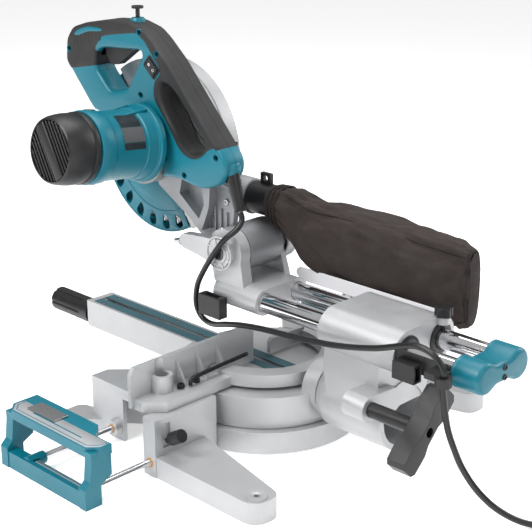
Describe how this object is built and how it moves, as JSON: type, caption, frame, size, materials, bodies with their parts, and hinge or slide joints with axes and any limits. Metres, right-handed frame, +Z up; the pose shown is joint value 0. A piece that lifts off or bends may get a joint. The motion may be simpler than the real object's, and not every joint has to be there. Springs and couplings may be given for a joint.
{
  "type": "sliding mitre saw",
  "caption": "Corded sliding compound mitre saw with a raised head, twin rear slide poles, fence, extension wing drawn out and cloth dust bag.",
  "frame": {"origin": "where the mitre axis meets the surface that the saw stands on", "axes": "+Z up, +X to the operator's right, -Y towards the operator, the cut runs along Y"},
  "size_m": [0.608, 1.0027, 0.5282],
  "materials": {
    "silver_paint": "satin",
    "teal_plastic": "satin",
    "black_plastic": "matte",
    "dark_steel": "satin",
    "chrome_steel": "polished",
    "plain_steel": "satin",
    "black_rubber": "matte",
    "bearing_bronze": "satin",
    "pale_plastic": "satin",
    "bag_cloth": "matte",
    "winding_metal": "satin"
  },
  "bodies": {
    "base": {"base_casting": "silver_paint", "fence": "silver_paint", "hex_wrench": "dark_steel", "lead_coil": "black_rubber", "plug": "black_rubber"},
    "sub_fence": {"sub_fence_left": "silver_paint"},
    "screw_right": {"wing_screw_right": "black_plastic"},
    "screw_left": {"wing_screw_left": "black_plastic"},
    "wing_right": {"wing_right": "teal_plastic", "wing_rods_right": "chrome_steel"},
    "wing_left": {"wing_left": "teal_plastic", "wing_rods_left": "chrome_steel"},
    "flip_stop": {"flip_stop_right": "plain_steel"},
    "turntable": {"turntable": "silver_paint", "pivot_bolt": "plain_steel", "kerf_board_right": "teal_plastic", "kerf_board_left": "teal_plastic", "tilt_pin": "plain_steel", "lead_mitre": "black_rubber"},
    "mitre_grip": {"mitre_grip": "black_plastic"},
    "mitre_latch": {"mitre_latch": "black_plastic"},
    "tilt": {"tilt_arm": "silver_paint", "slide_bush_left": "bearing_bronze", "slide_bush_right": "bearing_bronze", "slide_cover": "pale_plastic", "rear_cord_clip": "black_plastic", "lead_tilt": "black_rubber"},
    "bevel_lever": {"bevel_lever": "black_plastic"},
    "slide_knob": {"slide_lock_knob": "black_plastic"},
    "carriage": {"slide_pole_left": "chrome_steel", "slide_pole_right": "chrome_steel", "pole_end_cap": "teal_plastic", "head_bracket": "silver_paint", "hinge_pin": "plain_steel", "depth_stop_screw": "plain_steel", "spring_cover": "silver_paint", "return_spring": "plain_steel", "front_cord_clip": "black_plastic", "lead_slide": "black_rubber"},
    "head": {"head_arm": "silver_paint", "spindle_bearing": "plain_steel", "blade_case": "silver_paint", "handle_left": "teal_plastic", "handle_right": "teal_plastic", "cord_guard": "black_rubber", "motor_housing": "teal_plastic", "motor_end_cap": "black_plastic", "dust_chute": "silver_paint", "dust_pipe": "black_plastic", "dust_bag": "bag_cloth", "lead_head": "black_rubber"},
    "blade": {"blade": "plain_steel", "spindle": "plain_steel", "outer_flange": "plain_steel", "blade_bolt": "plain_steel"},
    "guard": {"lower_guard": "teal_plastic"},
    "rotor": {"armature": "winding_metal"},
    "trigger": {"trigger": "black_plastic"},
    "button": {"lock_off_button": "black_plastic"},
    "switch": {"light_switch": "black_plastic"}
  },
  "joints": [
    {"name": "mitre", "type": "hinge", "parent": "base", "child": "turntable", "pos_m": [0, 0, 0], "axis": [0, 0, -1], "range_deg": [-45, 45], "deforming": ["lead_mitre"]},
    {"name": "bevel", "type": "hinge", "parent": "turntable", "child": "tilt", "pos_m": [0, 0.12, 0.074], "axis": [0, -1, 0], "range_deg": [-5, 48], "deforming": ["lead_tilt"]},
    {"name": "slide", "type": "slide", "parent": "tilt", "child": "carriage", "axis": [0, 1, 0], "range_m": [-0.055, 0.095], "deforming": ["lead_slide"]},
    {"name": "plunge", "type": "hinge", "parent": "carriage", "child": "head", "pos_m": [0, -0.032, 0.23], "axis": [-1, 0, 0], "range_deg": [-50, 0], "stiffness_Nm_per_rad": 6, "springref_deg": 108.86, "deforming": ["lead_head"]},
    {"name": "guard_swing", "type": "hinge", "parent": "head", "child": "guard", "pos_m": [0, -0.195, 0.334], "axis": [-1, 0, 0], "range_deg": [0, 150]},
    {"name": "blade_spin", "type": "hinge", "parent": "head", "child": "blade", "pos_m": [0, -0.195, 0.334], "axis": [1, 0, 0], "continuous": true},
    {"name": "armature_spin", "type": "hinge", "parent": "head", "child": "rotor", "pos_m": [0.055, -0.165, 0.355], "axis": [0.995, 0, 0.0995], "continuous": true},
    {"name": "trigger_pull", "type": "hinge", "parent": "head", "child": "trigger", "pos_m": [0.0365, -0.1985, 0.4775], "axis": [-1, 0, 0], "range_deg": [0, 8], "stiffness_Nm_per_rad": 0.6, "springref_deg": -22.92},
    {"name": "lock_off_press", "type": "slide", "parent": "head", "child": "button", "axis": [0, 0, -1], "range_m": [0, 0.004], "stiffness_N_per_m": 400, "springref_m": -0.003},
    {"name": "light_rock", "type": "hinge", "parent": "head", "child": "switch", "pos_m": [0.0525, -0.151, 0.4555], "axis": [0, 0.6691, 0.7431], "range_deg": [0, 8]},
    {"name": "mitre_grip_turn", "type": "hinge", "parent": "turntable", "child": "mitre_grip", "pos_m": [0, -0.352, 0.045], "axis": [0, 1, 0], "range_deg": [0, 180]},
    {"name": "mitre_latch_press", "type": "hinge", "parent": "turntable", "child": "mitre_latch", "pos_m": [0, -0.32, 0.029], "axis": [1, 0, 0], "range_deg": [0, 10], "stiffness_Nm_per_rad": 0.8, "springref_deg": -17.19},
    {"name": "bevel_lever_turn", "type": "hinge", "parent": "tilt", "child": "bevel_lever", "pos_m": [0.076, 0.31, 0.11], "axis": [0, -1, 0], "range_deg": [0, 70]},
    {"name": "slide_knob_turn", "type": "hinge", "parent": "tilt", "child": "slide_knob", "pos_m": [-0.031, 0.265, 0.2], "axis": [0, 0, 1], "range_deg": [0, 180]},
    {"name": "sub_fence_slide", "type": "slide", "parent": "base", "child": "sub_fence", "axis": [-1, 0, 0], "range_m": [-0.09, 0]},
    {"name": "wing_right_slide", "type": "slide", "parent": "base", "child": "wing_right", "axis": [1, 0, 0], "range_m": [-0.066, 0]},
    {"name": "wing_left_slide", "type": "slide", "parent": "base", "child": "wing_left", "axis": [-1, 0, 0], "range_m": [0, 0.066]},
    {"name": "flip_stop_turn", "type": "hinge", "parent": "wing_right", "child": "flip_stop", "pos_m": [0.311, -0.077, 0.0752], "axis": [0, 1, 0], "range_deg": [0, 90]},
    {"name": "wing_screw_right_turn", "type": "hinge", "parent": "base", "child": "screw_right", "pos_m": [0.209, 0.0385, 0.045], "axis": [0, 0.8645, 0.5026], "range_deg": [0, 180]},
    {"name": "wing_screw_left_turn", "type": "hinge", "parent": "base", "child": "screw_left", "pos_m": [-0.209, 0.0385, 0.045], "axis": [0, 0.8645, 0.5026], "range_deg": [0, 180]}
  ],
  "couplings": [
    {"joint": "guard_swing", "follows": "plunge", "ratio": -3},
    {"joint": "armature_spin", "follows": "blade_spin", "ratio": -3.0833}
  ]
}
